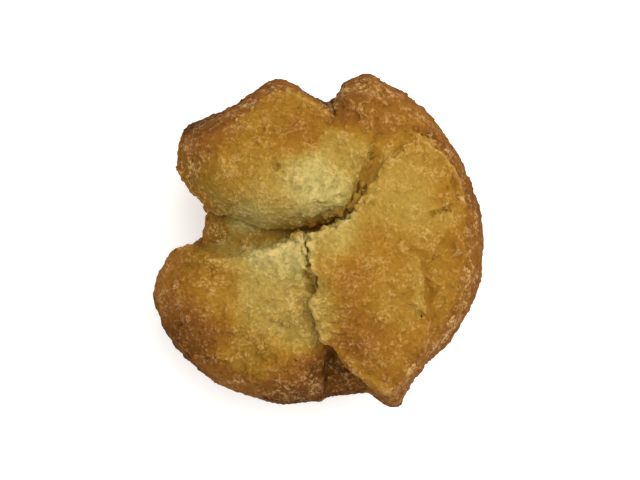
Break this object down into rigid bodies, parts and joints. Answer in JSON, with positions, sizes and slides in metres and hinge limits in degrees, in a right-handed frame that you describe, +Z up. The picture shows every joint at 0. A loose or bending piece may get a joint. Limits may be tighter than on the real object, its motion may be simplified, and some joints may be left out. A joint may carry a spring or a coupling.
{
  "type": "sata andagi doughnut",
  "caption": "Deep-fried ball of dough, burst open at the top into thick craggy lobes with a torn flap over the pale crumb.",
  "frame": {"origin": "on the table, under the middle of the doughnut's bounding box", "axes": "+Z up from the table; +Y towards the notch at the top of the picture; +X towards the lobe with the torn flap"},
  "size_m": [0.0702, 0.0706, 0.0485],
  "materials": {
    "fried_dough": "dry, craggy, browned"
  },
  "bodies": {
    "root": {"doughnut": "fried_dough"}
  },
  "joints": []
}
